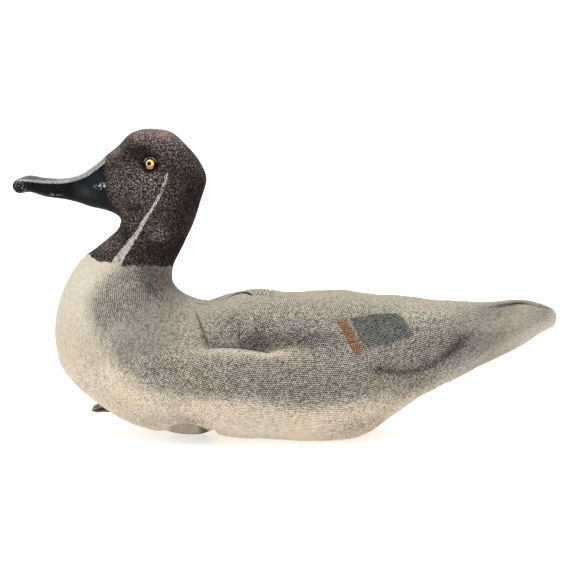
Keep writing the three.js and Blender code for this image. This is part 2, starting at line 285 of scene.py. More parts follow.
# Soft lights: place, target and width in metres, and watts.
LIGHTS = {
    "key": [(-0.2, -0.7, 1.6), (0, 0, 0.1), 1.3, 17],
    "side fill": [(-1.5, -0.9, 0.6), (0, 0, 0.15), 1.0, 2.5],
    "front fill": [(0.3, -1.9, 0.7), (0, 0, 0.06), 1.2, 2.2],
    "floor light": [(0, 1.9, 1.9), (0, 1.5, 0), 1.6, 13],
}
WORLD_STRENGTH = 0.45
SENSOR_WIDTH = 36


def ease(low, high, value):
    """0 below low, 1 above high, and 3t^2 - 2t^3 between; the other way round where high is the lower one."""
    t = np.clip((value - low) / (high - low), 0, 1)
    return t * t * (3 - 2 * t)


def between(start, full, fading, end, value):
    """0 before start and after end, 1 from full to fading, and the same smooth steps between."""
    return ease(start, full, value) * (1 - ease(fading, end, value))


def bell(value, width):
    """A soft bump: 1 at zero and e^-(value / width)^2 away from it."""
    return np.exp(-((value / width) ** 2))


def unit(vectors):
    """The vectors with a length of one."""
    return vectors / np.linalg.norm(vectors, axis=-1, keepdims=True)


def curve(stops, values, at):
    """A smooth curve through values at stops: a cubic on each span, its end slopes weighted from both spans."""
    stops, values = np.asarray(stops, float), np.asarray(values, float)
    span = np.diff(stops)
    rise = np.diff(values) / span
    inner = (rise[:-1] * span[1:] + rise[1:] * span[:-1]) / (span[:-1] + span[1:])
    slope = np.concatenate([rise[:1], inner, rise[-1:]])
    at = np.clip(at, stops[0], stops[-1])
    i = np.clip(np.searchsorted(stops, at, side="right") - 1, 0, len(span) - 1)
    t, h = (at - stops[i]) / span[i], span[i]
    return (
        (2 * t**3 - 3 * t**2 + 1) * values[i]
        + (t**3 - 2 * t**2 + t) * h * slope[i]
        + (3 * t**2 - 2 * t**3) * values[i + 1]
        + (t**3 - t**2) * h * slope[i + 1]
    )


def along(line, x):
    """The height of a line, given as points left to right, at x, on the smooth curve through them."""
    return curve(*np.array(line, float).T, x)


def x_at(line, height):
    """The x of a line, given as points low to high, at a height, in straight lines between the points."""
    return np.interp(height, *np.array(line)[:, ::-1].T)


def smooth_path(line, steps=48):
    """A path through the line's points, rounded: each coordinate is a smooth curve over the distance walked."""
    line = np.array(line, float)
    walked = np.concatenate([[0], np.cumsum(np.linalg.norm(np.diff(line, axis=0), axis=1))])
    at = np.linspace(0, walked[-1], steps)
    return np.stack([curve(walked, line[:, k], at) for k in range(line.shape[1])], -1)


def off_path(path, x, y):
    """Distance from points to a path: + on the left of its direction and - on the right. Also the share walked."""
    path = np.asarray(path, float)
    step = np.diff(path, axis=0)
    length = np.linalg.norm(step, axis=1)
    walked = np.concatenate([[0], np.cumsum(length)])
    best, side, share = np.full(x.shape, 1e9), np.ones(x.shape), np.zeros(x.shape)
    for (ax, ay), (dx, dy), long, start in zip(path, step, length, walked):
        t = np.clip(((x - ax) * dx + (y - ay) * dy) / long**2, 0, 1)
        gap = np.hypot(x - ax - t * dx, y - ay - t * dy)
        near = gap < best
        best = np.where(near, gap, best)
        side = np.where(near, np.where(dx * (y - ay) - dy * (x - ax) < 0, -1, 1), side)
        share = np.where(near, (start + t * long) / walked[-1], share)
    return best * side, share


def off_line(line, x, y):
    """The same distance and share for the rounded path through a line's points."""
    return off_path(smooth_path(line), x, y)


def off_seam(points):
    """Distance from points to the closing seam as seen from above, + on the drake's right of it."""
    return off_path(smooth_path(BACK_SEAM, SEAM_STEPS), points[..., 0], points[..., 1])[0]


def inside(outline, x, y):
    """Distance inside a closed outline: + within it, by counting the edges crossed, and - outside."""
    outline = np.array(outline, float)
    closed = np.vstack([outline, outline[:1]])
    gap = np.abs(off_path(closed, x, y)[0])
    odd = np.zeros(x.shape, bool)
    for (ax, ay), (bx, by) in zip(closed[:-1], closed[1:]):
        crosses = (ay > y) != (by > y)
        odd ^= crosses & (x < (bx - ax) * (y - ay) / (by - ay if by != ay else 1e-9) + ax)
    return np.where(odd, gap, -gap)


def sprayed(sprays, x, y):
    """Sum of soft round sprays: strength * e^-(distance in reaches)^2, each turned by its tilt."""
    total = np.zeros(x.shape)
    for at_x, at_y, long, high, tilt, strength in sprays.values():
        c, s = math.cos(math.radians(tilt)), math.sin(math.radians(tilt))
        u, v = (x - at_x) * c + (y - at_y) * s, (y - at_y) * c - (x - at_x) * s
        total += strength * np.exp(-((u / long) ** 2) - (v / high) ** 2)
    return total


def lumps(points, size, seed, waves=14):
    """Smooth unevenness of about -1 to 1: a sum of sines across random directions, size long each."""
    draw = np.random.default_rng(seed)
    ways = unit(draw.normal(size=(waves, 3)))
    phases = draw.uniform(0, TAU, waves)
    return np.sin(TAU * points @ ways.T / size + phases).sum(-1) / math.sqrt(waves / 2)


def from_left(points):
    """Where points show on the middle plane from the camera, as x and height; the right side is mirrored first."""
    tilt_cos, tilt_sin = math.cos(VIEW_TILT), math.sin(VIEW_TILT)
    x, y, z = (points - VIEW_TARGET)[..., 0], -np.abs(points[..., 1]), points[..., 2] - VIEW_TARGET[2]
    nearer = VIEW_DISTANCE / (VIEW_DISTANCE + y * tilt_cos - z * tilt_sin)
    return VIEW_TARGET[0] + x * nearer, VIEW_TARGET[2] + (y * tilt_sin + z * tilt_cos) * nearer / tilt_cos


def points_of(mesh):
    """A mesh's points in millimetres."""
    points = np.zeros(len(mesh.vertices) * 3)
    mesh.vertices.foreach_get("co", points)
    return points.reshape(-1, 3) * 1000


def eye_seat(node):
    """Where a packed glass eye sits: the middle of its back and its outward axis, the way its points spread least."""
    points = points_of(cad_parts[node].data)
    middle = (points.max(0) + points.min(0)) / 2
    axis = np.linalg.svd(points - points.mean(0), full_matrices=False)[2][2]
    axis = axis * np.sign(axis[1] * middle[1])
    centre = points.mean(0)
    return centre + axis * ((points - centre) @ axis).min(), axis


EYE_SEATS = {side: eye_seat(f"{side}_eye") for side in ("left", "right")}


def fold_depth(points, round_cos, round_sin):
    """How far the folds draw the skin in: each is a profile across its line, short and round on one side of it
    and long and easy on the other, that fades towards the line's ends. The cosine round a section is 1 at the
    back and -1 at the belly."""
    x, z = from_left(points)
    off_middle = np.abs(round_sin)

    # The tuck: below its line a quarter circle, above it a smooth step that begins behind the wing's fold.
    deepest = (TUCK_DEPTH + TUCK_SEWN * bell(x + 13.5, 10)) * (1 - ease(-14, 58, x))
    above = z - along(TUCK_LINE, x) - 0.36 * deepest
    start = np.where(above < 0, ease(-72, -62, x), ease(-1.5, 3, x - x_at(WING_LINE[::-1], z)))
    lip = 1 - np.sqrt(1 - np.clip(1 + above / TUCK_LIP, 0, 1) ** 2)
    tuck = deepest * start * np.where(above < 0, lip, 1 - ease(0, TUCK_SLOPE, above))

    # The wing's fold: a groove with an easy front and a steep back, and a swelling behind it.
    aft, share = off_line(WING_LINE, x, z)
    ends = ease(0, 0.25, share) * (1 - 0.2 * ease(0.9, 1, share)) * (np.abs(aft) < 30)
    wing = ends * np.where(aft < 0, 1 - ease(0, 5, -aft), 1 - ease(0, 2.2, aft)) * (1.2 + 1.6 * share)
    wing -= ends * 0.9 * bell(aft - 4, 2.6)

    # The wrinkle and the shoulder's fold: soft grooves, the first with a swelling behind it.
    aft, share = off_line(WRINKLE_LINE, x, z)
    wrinkle = 1.5 * bell(aft, 1.7) * ease(0, 0.5, share) - 0.8 * bell(aft - 4, 2.5) * share
    aft, share = off_line(SHOULDER_LINE, x, z)
    shoulder = 1.1 * bell(aft, 1.5) * np.sin(math.pi * np.clip(share, 0, 1))

    # The crease under the breast: a groove over a shelf, and a valley across the belly, steeper in front.
    above = z - along(CREASE_LINE, x) + 3
    low = (round_cos < 0) & (points[..., 2] < 42)
    profile = CREASE_DEPTH * bell(above, 2.4) + CREASE_SHELF * (1 - ease(-3, 1.5, above))
    crease = between(-116, -96, -67, -60, x) * profile
    beyond = points[..., 0] + 66.5
    valley = np.exp(beyond / np.where(beyond < 0, 7, -22)) * (1 - ease(6, 24, points[..., 2]))

    upper = (tuck * (round_cos > -0.75) + wing + wrinkle + shoulder) * ease(0.1, 0.35, off_middle)
    return upper + low * (crease * ease(0.02, 0.2, off_middle) + CREASE_ACROSS * valley)


def seam_relief(points, round_cos):
    """The closing seam's groove along the back, the far lip that stands proud where it gapes, and the swellings
    either side of it and behind it where it is pinched: each a bell across the seam that fades along it."""
    aside, x, y = off_seam(points), points[..., 0], points[..., 1]
    gape = between(-58, -50, -29, -24, x) + 0.5 * between(184, 196, 222, 232, x)
    pinch = between(-32, -24, -2, 12, x)
    groove = (0.3 + 3 * gape + 0.9 * pinch) * bell(aside, 1.3)
    raised = gape * (2 + 1.2 * ease(-38, -32, x))
    lip = raised * bell(aside - 3, 1.7) + 0.8 * pinch * bell(np.abs(aside) - 3.5, 2)
    lip += 1.5 * bell(x + 22.5, 5.5) * bell(y - 5, 9)
    return ((round_cos > 0.6) & (x > -62)) * (groove - lip)


def seat_eyes(points):
    """The skin pressed in under each glass eye, by a smooth step at its rim, with a low rolled lip round it."""
    for base, axis in EYE_SEATS.values():
        offset = points - base
        high = offset @ axis
        gap = np.linalg.norm(offset - high[..., None] * axis, axis=-1)
        near = (high > -12) & (gap < 14)  # leaves the other side of the head alone
        press = EYE_PRESS * (1 - ease(4.3, 5.5, gap)) - EYE_LIP * bell(gap - 6.3, 1.2)
        points = points - (near * press)[..., None] * axis
    return points


def skin_rows():
    """Places of the skin's rows along the body: closer in the two round ends."""
    table = np.array(list(STATIONS.values()), float)
    chord = np.hypot(*np.diff(table[:, :2], axis=0).T) + np.hypot(*np.diff(table[:, 2:4], axis=0).T)
    stops = np.concatenate([[0], np.cumsum(chord / 2)])
    turn = 1 - np.cos(np.linspace(0, math.pi / 2, CAP_ROWS + 1))
    middle = np.linspace(BILL_CAP, stops[-1] - TAIL_CAP, SKIN_ROWS)
    places = np.concatenate([BILL_CAP * turn[1:-1], middle, stops[-1] - TAIL_CAP * turn[::-1][1:-1]])
    return table, stops, places


def skin_points(table, stops, places, angles):
    """The stuffed skin. At a place along the body, back point, belly point and width are smooth curves through the
    stations. Round it, sine and cosine to the power 2 / the station's power give a squared ellipse. The folds and
    the filling's lumps then draw it towards the section's middle, at most 0.8 of the way, the eyes press it in,
    and near the ground z becomes (z + e)^2 / 4e, where e is the floor's ease."""
    columns = (curve(stops, column, places)[:, None] for column in table.T)
    back_x, back_z, belly_x, belly_z, half, widest, upper, lower = columns
    run, drop = belly_x - back_x, belly_z - back_z
    ends = np.clip(1 - places / BILL_CAP, 0, 1), np.clip(1 - (stops[-1] - places) / TAIL_CAP, 0, 1)
    size = np.sqrt((1 - ends[0] ** 2) * (1 - ends[1] ** 2))[:, None]
    c, s = np.cos(angles)[None], np.sin(angles)[None]
    power = 2 / np.where(c > 0, upper, lower)
    rise, reach = np.sign(c) * np.abs(c) ** power, np.sign(s) * np.abs(s) ** power
    down = widest - np.where(c > 0, widest, 1 - widest) * rise * size
    points = np.stack([back_x + run * down, -half * reach * size, back_z + drop * down], -1)
    middle = np.stack(np.broadcast_arrays(back_x + run * widest, 0 * down, back_z + drop * widest), -1)
    depth = fold_depth(points, c, s) + seam_relief(points, c)
    past_bill = ease(30, 90, places)[:, None]
    depth = depth + past_bill * sum(high * lumps(points, long, seed) for high, long, seed in LUMPS)
    inward = middle - points
    room = np.linalg.norm(inward, axis=-1)
    points = seat_eyes(points + inward / (room + 1e-9)[..., None] * np.minimum(depth, room * 0.8)[..., None])
    z = points[..., 2]
    eased = (z + FLOOR_EASE) ** 2 / (4 * FLOOR_EASE)
    points[..., 2] = np.where(z >= FLOOR_EASE, z, np.where(z <= -FLOOR_EASE, 0, eased))
    return points


def filled(rings, ends):
    """The skin as its filling presses it out. Every fourth row and column make a coarse cloth that is held at its
    head, tail, folds, seam and ground and blown out for twenty frames. How far its points moved, up to a cap, is
    spread over the fine skin in straight lines between them and then evened out."""
    count, around = rings.shape[:2]
    rows = np.unique(np.append(np.arange(0, count, FILL_STEP), count - 1))
    coarse = rings[rows][:, ::FILL_STEP]
    points = np.concatenate([coarse.reshape(-1, 3), ends])
    x, z = from_left(points)
    at_tuck = ease(9, 5, np.abs(z - along(TUCK_LINE, x))) * (x > -70) * (x < 10)
    at_seam = ease(8, 4, np.abs(off_seam(points))) * (points[:, 2] > 95) * (points[:, 0] > -60)
    head, tail, ground = ease(140, 158, points[:, 2]), ease(196, 210, points[:, 0]), ease(2.5, 1, points[:, 2])
    held = np.round(np.max([head, tail, ground, at_tuck, at_seam], axis=0), 1)

    piece = closed_mesh("filling_form", coarse, *ends)
    grip = piece.vertex_groups.new(name="held")
    for share in np.unique(held[held > 0]):
        grip.add(np.nonzero(held == share)[0].tolist(), float(share), "REPLACE")
    fabric = piece.modifiers.new("filling", "CLOTH")
    fabric.collision_settings.use_collision = False
    fabric.settings.effector_weights.gravity = 0
    for name, value in FILL_CLOTH.items():
        setattr(fabric.settings, name, value)
    for step in range(1, FILL_FRAMES + 1):
        bpy.context.scene.frame_set(step)
    moved = points_of(piece.evaluated_get(bpy.context.evaluated_depsgraph_get()).data) - points
    bpy.context.scene.frame_set(1)
    bpy.data.objects.remove(piece)

    moved *= np.minimum(1, FILL_MOST / (np.linalg.norm(moved, axis=1, keepdims=True) + 1e-9))
    moved = moved[:-2].reshape(len(rows), -1, 3)
    moved = np.concatenate([moved, moved[:, :1]], 1)
    row, column = np.interp(np.arange(count), rows, np.arange(len(rows))), np.arange(around) / FILL_STEP
    i, j = np.minimum(row.astype(int), len(rows) - 2), column.astype(int)
    s, t = (row - i)[:, None, None], (column - j)[None, :, None]
    fine = moved[i] * (1 - s) + moved[i + 1] * s
    fine = fine[:, j] * (1 - t) + fine[:, j + 1] * t
    for _ in range(FILL_ROUNDS):
        fine = (np.roll(fine, 1, 1) + 2 * fine + np.roll(fine, -1, 1)) / 4
        longer = np.concatenate([fine[:1], fine, fine[-1:]])
        fine = (longer[:-2] + 2 * fine + longer[2:]) / 4
    rings = rings + fine
    rings[..., 2] = np.maximum(rings[..., 2], 0)
    return rings


def placed(name, data):
    """A new object that holds the data, in the scene."""
    made = bpy.data.objects.new(name, data)
    bpy.context.scene.collection.objects.link(made)
    return made


def closed_mesh(name, rings, first, last, uv=None, sharp=None):
    """A closed mesh from rings of points and a point at each end: four-sided faces between rings, three-sided at
    the ends. Its faces are turned outward by the sign of its volume. uv gives how far along and how far round
    each point is; the second half of the way round is moved along."""
    count, around = rings.shape[:2]
    points = np.concatenate([rings.reshape(-1, 3), [first, last]])
    i, j = (grid.ravel() for grid in np.meshgrid(np.arange(count - 1), np.arange(around), indexing="ij"))
    edge = np.arange(around)
    rows = [np.stack([i, i, i + 1, i + 1], -1), np.repeat([[0] * 3, [count - 1] * 3], around, axis=0)]
    fan_columns = np.stack([np.append(edge, edge), np.append(edge + 1, edge), np.append(edge, edge + 1)], -1)
    columns = [np.stack([j, j + 1, j + 1, j], -1), fan_columns]
    faces = [row * around + column % around for row, column in zip(rows, columns)]
    faces[1][:, 0] = count * around + np.repeat([0, 1], around)

    corners = points[faces[0]]
    halves = [np.cross(corners[:, k], corners[:, k + 1]) for k in (1, 2)]
    if sum(np.einsum("ij,ij->i", corners[:, 0], half).sum() for half in halves) < 0:
        rows, columns, faces = ([part[:, ::-1] for part in parts] for parts in (rows, columns, faces))
    mesh = bpy.data.meshes.new(name)
    mesh.from_pydata((points / 1000).tolist(), [], faces[0].tolist() + faces[1].tolist())
    mesh.shade_smooth()
    if sharp is not None:
        mesh.set_sharp_from_angle(angle=math.radians(sharp))
    if uv is not None:
        row, column = (np.concatenate([part.ravel() for part in parts]) for parts in (rows, columns))
        first_column = np.concatenate([np.repeat(part.min(1), part.shape[1]) for part in columns])
        lengthwise = uv[0][row, column] + OTHER_SIDE * (first_column >= around // 2)
        knit = np.stack([lengthwise, uv[1][row, column]], -1)
        mesh.uv_layers.new(name="knit").data.foreach_set("uv", knit.ravel())
    return placed(name, mesh)


def give(piece, **values):
    """Stores a number for every point of a piece, under a name that its material reads."""
    for name, value in values.items():
        layer = piece.data.attributes.new(name, "FLOAT", "POINT")
        layer.data.foreach_set("value", np.asarray(value, np.float32))


def tube(name, path, radius, sides=8):
    """A round thread along a path: at each point a circle square to the path, with a point closing each end."""
    ahead = unit(np.gradient(path, axis=0))
    across = unit(np.cross(ahead, [0, 0, 1.0]))
    over = np.cross(across, ahead)
    angle = np.linspace(0, TAU, sides, endpoint=False)[None, :, None]
    rings = path[:, None] + radius * (np.cos(angle) * across[:, None] + np.sin(angle) * over[:, None])
    return closed_mesh(name, rings, path[0], path[-1])


class Wire:
    """An output socket in a material. Sums with it add the Math nodes that they need."""

    def __init__(self, finish, socket):
        self.finish = finish
        self.socket = socket

    def maths(self, operation, *values):
        return self.finish.node("ShaderNodeMath", {"operation": operation}, dict(enumerate(values)))

    def __add__(self, other):
        return self.maths("ADD", self, other)

    def __sub__(self, other):
        return self.maths("SUBTRACT", self, other)

    def __rsub__(self, other):
        return self.maths("SUBTRACT", other, self)

    def __mul__(self, other):
        return self.maths("MULTIPLY", self, other)

    __radd__ = __add__
    __rmul__ = __mul__

    def whole(self):
        return self.maths("FLOOR", self)

    def part(self):
        return self.maths("FRACT", self)

    def size(self):
        return self.maths("ABSOLUTE", self)

    def root(self):
        return self.maths("SQRT", self)

    def rise(self, low, high):
        """0 below low and 1 above high, with a smooth step between, or the other way where high is lower."""
        settings = {"interpolation_type": "SMOOTHSTEP"}
        return self.finish.node("ShaderNodeMapRange", settings, {"Value": self, "From Min": low, "From Max": high})

    def output(self, name):
        return Wire(self.finish, self.socket.node.outputs[name])


class Finish:
    """A material's nodes, added one at a time."""

    def __init__(self, name):
        self.material = bpy.data.materials.new(name)
        self.material.use_nodes = True
        self.tree = self.material.node_tree
        self.shader = self.tree.nodes["Principled BSDF"]

    def node(self, kind, settings=None, inputs=None, output=0):
        made = self.tree.nodes.new(kind)
        for name, value in (settings or {}).items():
            setattr(made, name, value)
        for name, value in (inputs or {}).items():
            self.plug(made.inputs[name], value)
        return Wire(self, made.outputs[output])

    def plug(self, socket, value):
        if isinstance(value, Wire):
            self.tree.links.new(value.socket, socket)
        else:
            socket.default_value = value

    def surface(self, **inputs):
        for name, value in inputs.items():
            self.plug(self.shader.inputs[name.replace("_", " ")], value)

    def stored(self, name):
        return self.node("ShaderNodeAttribute", {"attribute_name": name}, output="Fac")

    def place(self):
        return self.node("ShaderNodeTexCoord", output="Object")

    def noise(self, scale, detail=2.0):
        inputs = {"Vector": self.place(), "Scale": scale, "Detail": detail}
        return self.node("ShaderNodeTexNoise", {}, inputs, output="Fac")

    def knit(self):
        return self.node("ShaderNodeUVMap", {"uv_map": "knit"})

    def apart(self, vector):
        """The x of a vector; its output("Y") is the y."""
        return self.node("ShaderNodeSeparateXYZ", {}, {0: vector}, output="X")

    def chance(self, x, y):
        """A random number for each whole x and y."""
        pair = self.node("ShaderNodeCombineXYZ", {}, {"X": x, "Y": y})
        return self.node("ShaderNodeTexWhiteNoise", {"noise_dimensions": "2D"}, {"Vector": pair})

    def blend(self, amount, under, over):
        return self.node("ShaderNodeMix", {"data_type": "RGBA"}, {0: amount, 6: under, 7: over}, output=2)

    def bump(self, height, distance, strength):
        return self.node("ShaderNodeBump", {}, {"Height": height, "Distance": distance, "Strength": strength})


def colour(red, green, blue):
    """A colour as a screen shows it, 0 to 255 each, made linear: below 0.04045 divided by 12.92, above it a power."""
    shown = np.array([red, green, blue]) / 255
    linear = np.where(shown <= 0.04045, shown / 12.92, ((shown + 0.055) / 1.055) ** 2.4)
    return (*linear.tolist(), 1.0)


def painted_knit():
    """Ribbed knit under old paint, in greys, browns and cream. Across a rib and along a stitch the cloth falls as
    1 - d^2, where d is 0 in the middle and 1 at the edge; stitches slant to both sides of a rib. Each stitch holds
    its own share of paint, by chance. Paints are laid one over another, each where its stored amount or its
    distance from an edge, made ragged, passes a smooth step."""
    f = Finish("painted_knit")
    axes = f.apart(f.knit())
    wobble = f.noise(90) - 0.5
    course, wale = axes + wobble * 0.5, axes.output("Y") + wobble * 0.7
    valley = ((wale.part() - 0.5) * 2).size()
    lean = course + valley * 0.45
    stitch = ((lean.part() - 0.5) * 2).size()
    rib = (1 - valley * valley) * 0.6 + (1 - stitch * stitch) * 0.4
    grain = f.chance(lean.whole(), wale.whole()) - 0.5
    fine = f.chance((lean * 2).whole(), (wale * 2).whole() + 7) - 0.5
    ridge = (0.33 - valley * valley) * 0.75 + (0.33 - stitch * stitch) * 0.75
    speck = (ridge * 1.05 + fine * 0.85 + grain * 0.2) * f.stored("grain")
    spark = f.noise(920).rise(0.51, 0.64)
    cloud = f.noise(38, 3.0) - 0.5
    ragged = f.noise(150) - 0.5
    edge = fine * 1.2 + cloud * 0.3

    # The body: grey over cream, the crease's lobe painted as shade, the rust bar, the speculum, the streak, and
    # painted shade and shadow in the folds.
    dark = f.stored("dark")
    mix = dark * (1 - speck * 0.76) - (1 - dark) * speck * 0.95 - (spark - 0.25) * 0.1 + cloud * 0.05
    cream = f.blend(f.noise(22).rise(0.35, 0.65), colour(229, 220, 199), colour(234, 219, 198))
    cream = f.blend(f.stored("warm") * f.noise(34).rise(0.1, 0.8), cream, colour(237, 214, 184))
    slate = f.blend(f.noise(18).rise(0.35, 0.65), colour(52, 56, 62), colour(61, 59, 58))
    cloth = f.blend(mix, cream, slate)
    cloth = f.blend(f.noise(420, 1.0).rise(0.715, 0.745) * 0.6, cloth, colour(70, 58, 46))
    # the lobe under the breast's crease: painted shade, with a painted shadow at its rear tip
    shaded_lobe = f.blend(0.5 - speck * 1.6, colour(172, 160, 144), colour(128, 118, 106))
    shaded_lobe = f.blend(f.stored("lobe_tip_shadow") * 0.9, shaded_lobe, colour(54, 49, 44))
    cloth = f.blend(f.stored("shaded_lobe").rise(0.05, 0.6), cloth, shaded_lobe)
    rust = (f.stored("rust") + edge * 0.7).rise(-0.5, 0.7) * 0.92
    cloth = f.blend(rust, cloth, f.blend(0.6 - speck * 1.4, colour(172, 129, 97), colour(74, 52, 41)))
    speculum = (f.stored("speculum") + edge * 0.8).rise(-0.6, 0.8) * 0.95
    green = f.blend(0.66 - speck * 1.6, colour(134, 134, 125), colour(36, 42, 40))
    cloth = f.blend(speculum, cloth, green)
    streak = f.stored("streak") * (0.95 - speck * 0.7)
    cloth = f.blend(streak, cloth, colour(54, 49, 49))
    # painted shade above the tuck, and a painted shadow line along its crease
    tuck = f.stored("tuck")
    shade = tuck.rise(-0.7, 0.1) * f.stored("tuck_shade") * (0.7 - speck * 0.8)
    cloth = f.blend(shade, cloth, colour(50, 46, 43))
    crease = tuck.rise(-0.9, -0.1) * (tuck - f.stored("tuck_wide")).rise(0.9, -0.3) * f.stored("tuck_shadow")
    cloth = f.blend(crease, cloth, colour(38, 33, 28))
    # painted shadow along the grooves of the folds
    line = f.stored("line").size()
    cloth = f.blend(line.rise(1.3, 0.1) * f.stored("fold_line_shadow"), cloth, colour(50, 45, 40))

    # The head: brown that is worn down to dusty specks, and the pale stripe.
    worn = f.stored("head_worn")
    wear = worn * (spark * 3.0 + (ridge + fine) * 1.5 + 0.15) + fine * 0.12 + (spark - 0.3) * 0.09
    wear = wear + cloud * worn * 0.7
    dust = f.blend(cloud.rise(-0.2, 0.25), colour(178, 166, 156), colour(166, 140, 138))
    brown = f.blend(wear, colour(24, 18, 17), dust)
    brown = f.blend(f.stored("head_ochre") * (speck * 0.8 + 0.5), brown, colour(186, 170, 140))
    stripe = (f.stored("stripe") + edge * 0.8).rise(-0.6, 0.6) * (speck * 3.4 + 0.6)
    brown = f.blend(stripe, brown, colour(218, 209, 199))
    head = (f.stored("head") + edge * 0.8 + ragged * 7).rise(-0.35, 0.35)
    skin = f.blend(head, cloth, brown)

    # The bill: black with scuffs, a painted sheen and painted glints, and a grey top with a painted highlight
    # along its front edge.
    bill = (f.stored("bill") + edge * 2.0 + ragged * 4).rise(-1.6, 1.6)
    black = f.blend(cloud.rise(-0.3, 0.35), colour(2, 3, 4), colour(11, 12, 14))
    # a bluish painted sheen near the bill's root
    black = f.blend(f.stored("bill_sheen") * (cloud * 2 + 0.8), black, colour(52, 57, 61))
    # scuffs, and painted glints on the nail and tip
    scuff_and_glint = f.stored("scuff_and_glint") * f.noise(480).rise(0.5, 0.6)
    black = f.blend(scuff_and_glint + spark * 0.03, black, colour(170, 174, 172))
    # the top's grey, and along its front edge worn paint with a painted highlight
    light = f.stored("bill_top_tone_and_highlight") * (spark * 1.6 + 0.5) + fine * 0.15
    top_paint = f.blend(light, colour(46, 47, 48), colour(186, 186, 180))
    black = f.blend((f.stored("bill_top") + edge * 0.4).rise(-0.6, 0.6), black, top_paint)
    skin = f.blend(bill, skin, black)
    # The eye's dark surround with a pale lid over it, partly painted highlight, and painted shadow in the open seam.
    rim = f.stored("eye_gap")
    skin = f.blend(rim.rise(11, 6) * 0.93, skin, colour(12, 10, 9))
    # the pale lid edge along the top: worn paint with a painted highlight
    eyelid = rim.rise(4.65, 5.0) * rim.rise(5.95, 5.45) * (0.85 + spark * 0.5)
    skin = f.blend(eyelid * f.stored("eye_up").rise(0.6, 2.4), skin, colour(226, 212, 198))
    # painted shadow inside the open seam's slit
    gap = f.stored("seam") + speck * 0.2
    slit_shadow = gap.rise(-0.9, -0.1) * (gap - f.stored("seam_wide")).rise(0.7, -0.3) * f.stored("seam_shadow")
    skin = f.blend(slit_shadow, skin, colour(34, 29, 25))

    relief = rib * (1 - bill * 0.5) + f.noise(900, 1.0) * 0.25
    f.surface(
        Base_Color=skin,
        Roughness=0.92 - bill * 0.4,
        Normal=f.bump(relief, 0.00025, 0.8),
        Specular_IOR_Level=0.07,
    )
    return f.material


def glass_eye():
    """Clear glass over a painted back: a black pupil, a yellow ring that turns orange below, a pale painted highlight
    on the ring's upper part, and a dark rim.
    """
    f = Finish("glass_eye")
    side = f.apart(f.knit())
    up = side.output("Y")
    out = (side * side + up * up).root()
    ring = f.blend(up.rise(0.15, -0.5), colour(255, 226, 120), colour(226, 148, 78))
    # a pale painted highlight on the ring's upper part
    ring = f.blend((up * 0.7 - side).rise(0.1, 0.75) * 0.8, ring, colour(238, 226, 196))
    iris = f.blend(out.rise(0.62, 0.7), ring, colour(30, 14, 8))
    low = (out.rise(0.7, 0.78) * out.rise(0.98, 0.9)) * up.rise(-0.5, -0.72)
    iris = f.blend(low * 0.85, iris, colour(206, 150, 116))
    drop = side + 0.15
    iris = f.blend((drop * drop + up * up).root().rise(0.41, 0.34), iris, colour(5, 4, 3))
    f.surface(Base_Color=iris, Roughness=0.3, Coat_Weight=0.45, Coat_Roughness=0.03, Specular_IOR_Level=0.1)
    return f.material


def dark_leather():
    """Old dark leather with a pale cut edge and a fine pebbled grain."""
    f = Finish("dark_leather")
    pores = f.node("ShaderNodeTexVoronoi", {}, {"Vector": f.place(), "Scale": 1300.0}, output="Distance")
    tone = f.blend(f.noise(420, 3.0).rise(0.3, 0.7), colour(34, 30, 27), colour(58, 51, 45))
    tone = f.blend(f.stored("cut_edge").rise(0.3, 0.8), tone, colour(126, 118, 106))
    f.surface(Base_Color=tone, Roughness=0.62, Normal=f.bump(pores + f.noise(700), 0.0003, 0.5))
    return f.material


def waxed_thread():
    """Twisted thread: slanting strands, grey-brown and a little darker between them."""
    f = Finish("waxed_thread")
    spot = f.apart(f.place())
    twist = ((spot * 1500 + spot.output("Y") * 900).part() - 0.5).size()
    tone = f.blend(twist.rise(0.1, 0.45), colour(170, 160, 142), colour(238, 232, 216))
    f.surface(Base_Color=tone, Roughness=0.8, Normal=f.bump(twist, 0.0002, 0.6))
    return f.material


def pale_paper():
    """White paper with faint clouds, which also gives off a little light, so that the picture's ground is white."""
    f = Finish("pale_paper")
    tone = f.blend(f.noise(3), (0.86, 0.86, 0.86, 1), (0.88, 0.88, 0.88, 1))
    f.surface(Base_Color=tone, Roughness=0.9, Specular_IOR_Level=0.1)
    f.surface(Emission_Color=(1, 1, 1, 1), Emission_Strength=0.54)
    return f.material


def capped(distance):
    """A distance from a painted edge, no more than the paint's reach either way."""
    return np.clip(distance, -PAINT_REACH, PAINT_REACH)


def knit_places(rings):
    """How many stitches along and how many ribs round each point of the skin is, walked on its surface. Stitches
    count from the row three fifths along. Ribs count from halfway down the left side, and on the right side they
    are walked the other way round from the back, so both sides match."""
    count, around = rings.shape[:2]
    columns = np.arange(around + 1) % around
    step = np.linalg.norm(np.diff(rings[:, columns], axis=1), axis=-1)
    walked = np.concatenate([np.zeros((count, 1)), np.cumsum(step, axis=1)], 1)
    half, quarter = around // 2, around // 4
    mirrored = np.concatenate([walked[:, :half], walked[:, -1:] - walked[:, half:]], 1)
    stride = np.linalg.norm(np.diff(rings, axis=0), axis=-1)
    far = np.concatenate([np.zeros((1, around)), np.cumsum(stride, axis=0)])
    far = (far - far[count * 3 // 5])[:, columns]
    return far / COURSE, (mirrored - walked[:, quarter : quarter + 1]) / WALE


